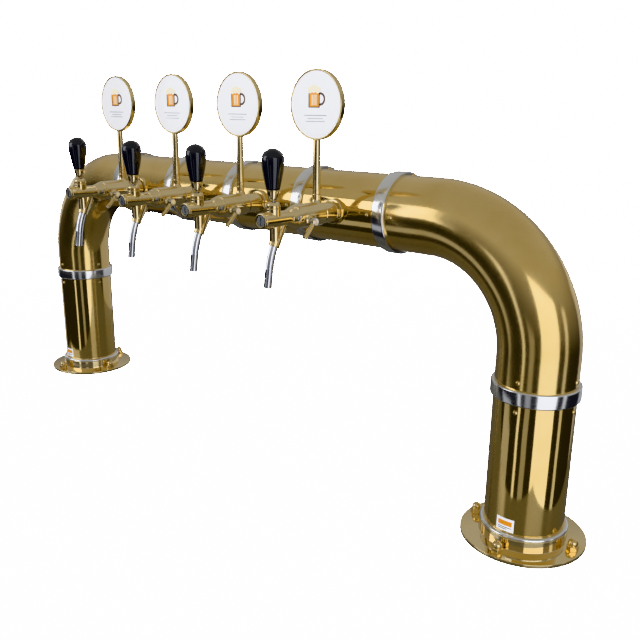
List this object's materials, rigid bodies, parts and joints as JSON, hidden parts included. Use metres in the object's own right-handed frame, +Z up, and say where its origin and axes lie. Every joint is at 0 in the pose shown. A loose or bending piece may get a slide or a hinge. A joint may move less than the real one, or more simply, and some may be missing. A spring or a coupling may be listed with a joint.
{
  "type": "beer tap tower",
  "caption": "Brass bridge beer tower: two flanged legs, swept elbows and a horizontal beam carrying compensator taps with round badges.",
  "frame": {"origin": "on the counter top, midway between the two leg axes", "axes": "+X along the beam, from the left leg to the right leg as the pourer faces the taps; -Y towards the pourer; +Z up"},
  "size_m": [1.1648, 0.2722, 0.5799],
  "materials": {
    "polished_brass": "mirror polished and lacquered",
    "polished_chrome": "mirror polished",
    "stainless_spout": "bright polished tube",
    "stainless_steel": "turned",
    "black_phenolic": "high gloss moulded",
    "white_enamel": "glossy white disc",
    "white_label": "printed film",
    "white_acetal": "turned plastic",
    "seal_rubber": "matte",
    "line_plastic": "smooth extruded tube",
    "copper": "bright drawn pipe"
  },
  "bodies": {
    "tower": {"left_base_flange": "polished_brass", "right_base_flange": "polished_brass", "base_rings": "polished_chrome", "acorn_nuts": "polished_brass", "left_leg_tube": "polished_brass", "right_leg_tube": "polished_brass", "left_elbow": "polished_brass", "right_elbow": "polished_brass", "beam_segment_1": "polished_brass", "beam_segment_2": "polished_brass", "beam_segment_3": "polished_brass", "beam_segment_4": "polished_brass", "leg_bands": "polished_chrome", "beam_bands": "polished_chrome", "joint_sleeves": "stainless_steel", "band_screws": "polished_brass", "leg_labels": "white_label", "beer_lines": "line_plastic", "line_fittings": "polished_brass", "cooling_pipe": "copper", "wall_flanges": "polished_brass", "tap_shanks": "stainless_steel", "shank_nuts": "polished_brass", "coupling_nuts": "polished_brass", "tap_seals": "seal_rubber", "tap_body_1": "polished_brass", "tap_body_2": "polished_brass", "tap_body_3": "polished_brass", "tap_body_4": "polished_brass", "front_caps": "stainless_steel", "gland_nuts": "polished_brass", "side_plugs": "stainless_steel", "spouts": "stainless_spout", "badge_rods": "polished_brass", "badge_frames": "polished_brass", "badge_faces": "white_enamel"},
    "handle_1": {"lever_1": "stainless_steel", "ferrule_1": "polished_brass", "knob_1": "black_phenolic"},
    "spool_1": {"spool_1": "stainless_steel"},
    "flow_lever_1": {"flow_lever_1": "polished_brass"},
    "flow_cone_1": {"flow_cone_1": "white_acetal"},
    "handle_2": {"lever_2": "stainless_steel", "ferrule_2": "polished_brass", "knob_2": "black_phenolic"},
    "spool_2": {"spool_2": "stainless_steel"},
    "flow_lever_2": {"flow_lever_2": "polished_brass"},
    "flow_cone_2": {"flow_cone_2": "white_acetal"},
    "handle_3": {"lever_3": "stainless_steel", "ferrule_3": "polished_brass", "knob_3": "black_phenolic"},
    "spool_3": {"spool_3": "stainless_steel"},
    "flow_lever_3": {"flow_lever_3": "polished_brass"},
    "flow_cone_3": {"flow_cone_3": "white_acetal"},
    "handle_4": {"lever_4": "stainless_steel", "ferrule_4": "polished_brass", "knob_4": "black_phenolic"},
    "spool_4": {"spool_4": "stainless_steel"},
    "flow_lever_4": {"flow_lever_4": "polished_brass"},
    "flow_cone_4": {"flow_cone_4": "white_acetal"}
  },
  "joints": [
    {"name": "handle_1_tilt", "type": "hinge", "parent": "tower", "child": "handle_1", "pos_m": [-0.2175, -0.1697, 0.414], "axis": [1, 0, 0], "range_deg": [-15, 25]},
    {"name": "spool_1_slide", "type": "slide", "parent": "tower", "child": "spool_1", "axis": [0, 1, 0], "range_m": [-0.0045, 0.0072]},
    {"name": "flow_lever_1_turn", "type": "hinge", "parent": "tower", "child": "flow_lever_1", "pos_m": [-0.2175, -0.1175, 0.3925], "axis": [1, 0, 0], "range_deg": [-45, 45]},
    {"name": "flow_cone_1_slide", "type": "slide", "parent": "tower", "child": "flow_cone_1", "axis": [0, 1, 0], "range_m": [-0.0024, 0.0024]},
    {"name": "handle_2_tilt", "type": "hinge", "parent": "tower", "child": "handle_2", "pos_m": [-0.0725, -0.1697, 0.414], "axis": [1, 0, 0], "range_deg": [-15, 25]},
    {"name": "spool_2_slide", "type": "slide", "parent": "tower", "child": "spool_2", "axis": [0, 1, 0], "range_m": [-0.0045, 0.0072]},
    {"name": "flow_lever_2_turn", "type": "hinge", "parent": "tower", "child": "flow_lever_2", "pos_m": [-0.0725, -0.1175, 0.3925], "axis": [1, 0, 0], "range_deg": [-45, 45]},
    {"name": "flow_cone_2_slide", "type": "slide", "parent": "tower", "child": "flow_cone_2", "axis": [0, 1, 0], "range_m": [-0.0024, 0.0024]},
    {"name": "handle_3_tilt", "type": "hinge", "parent": "tower", "child": "handle_3", "pos_m": [0.0725, -0.1697, 0.414], "axis": [1, 0, 0], "range_deg": [-15, 25]},
    {"name": "spool_3_slide", "type": "slide", "parent": "tower", "child": "spool_3", "axis": [0, 1, 0], "range_m": [-0.0045, 0.0072]},
    {"name": "flow_lever_3_turn", "type": "hinge", "parent": "tower", "child": "flow_lever_3", "pos_m": [0.0725, -0.1175, 0.3925], "axis": [1, 0, 0], "range_deg": [-45, 45]},
    {"name": "flow_cone_3_slide", "type": "slide", "parent": "tower", "child": "flow_cone_3", "axis": [0, 1, 0], "range_m": [-0.0024, 0.0024]},
    {"name": "handle_4_tilt", "type": "hinge", "parent": "tower", "child": "handle_4", "pos_m": [0.2175, -0.1697, 0.414], "axis": [1, 0, 0], "range_deg": [-15, 25]},
    {"name": "spool_4_slide", "type": "slide", "parent": "tower", "child": "spool_4", "axis": [0, 1, 0], "range_m": [-0.0045, 0.0072]},
    {"name": "flow_lever_4_turn", "type": "hinge", "parent": "tower", "child": "flow_lever_4", "pos_m": [0.2175, -0.1175, 0.3925], "axis": [1, 0, 0], "range_deg": [-45, 45]},
    {"name": "flow_cone_4_slide", "type": "slide", "parent": "tower", "child": "flow_cone_4", "axis": [0, 1, 0], "range_m": [-0.0024, 0.0024]}
  ],
  "couplings": [
    {"joint": "spool_1_slide", "follows": "handle_1_tilt", "m_per_rad": 0.016},
    {"joint": "flow_cone_1_slide", "follows": "flow_lever_1_turn", "m_per_rad": -0.003},
    {"joint": "spool_2_slide", "follows": "handle_2_tilt", "m_per_rad": 0.016},
    {"joint": "flow_cone_2_slide", "follows": "flow_lever_2_turn", "m_per_rad": -0.003},
    {"joint": "spool_3_slide", "follows": "handle_3_tilt", "m_per_rad": 0.016},
    {"joint": "flow_cone_3_slide", "follows": "flow_lever_3_turn", "m_per_rad": -0.003},
    {"joint": "spool_4_slide", "follows": "handle_4_tilt", "m_per_rad": 0.016},
    {"joint": "flow_cone_4_slide", "follows": "flow_lever_4_turn", "m_per_rad": -0.003}
  ]
}
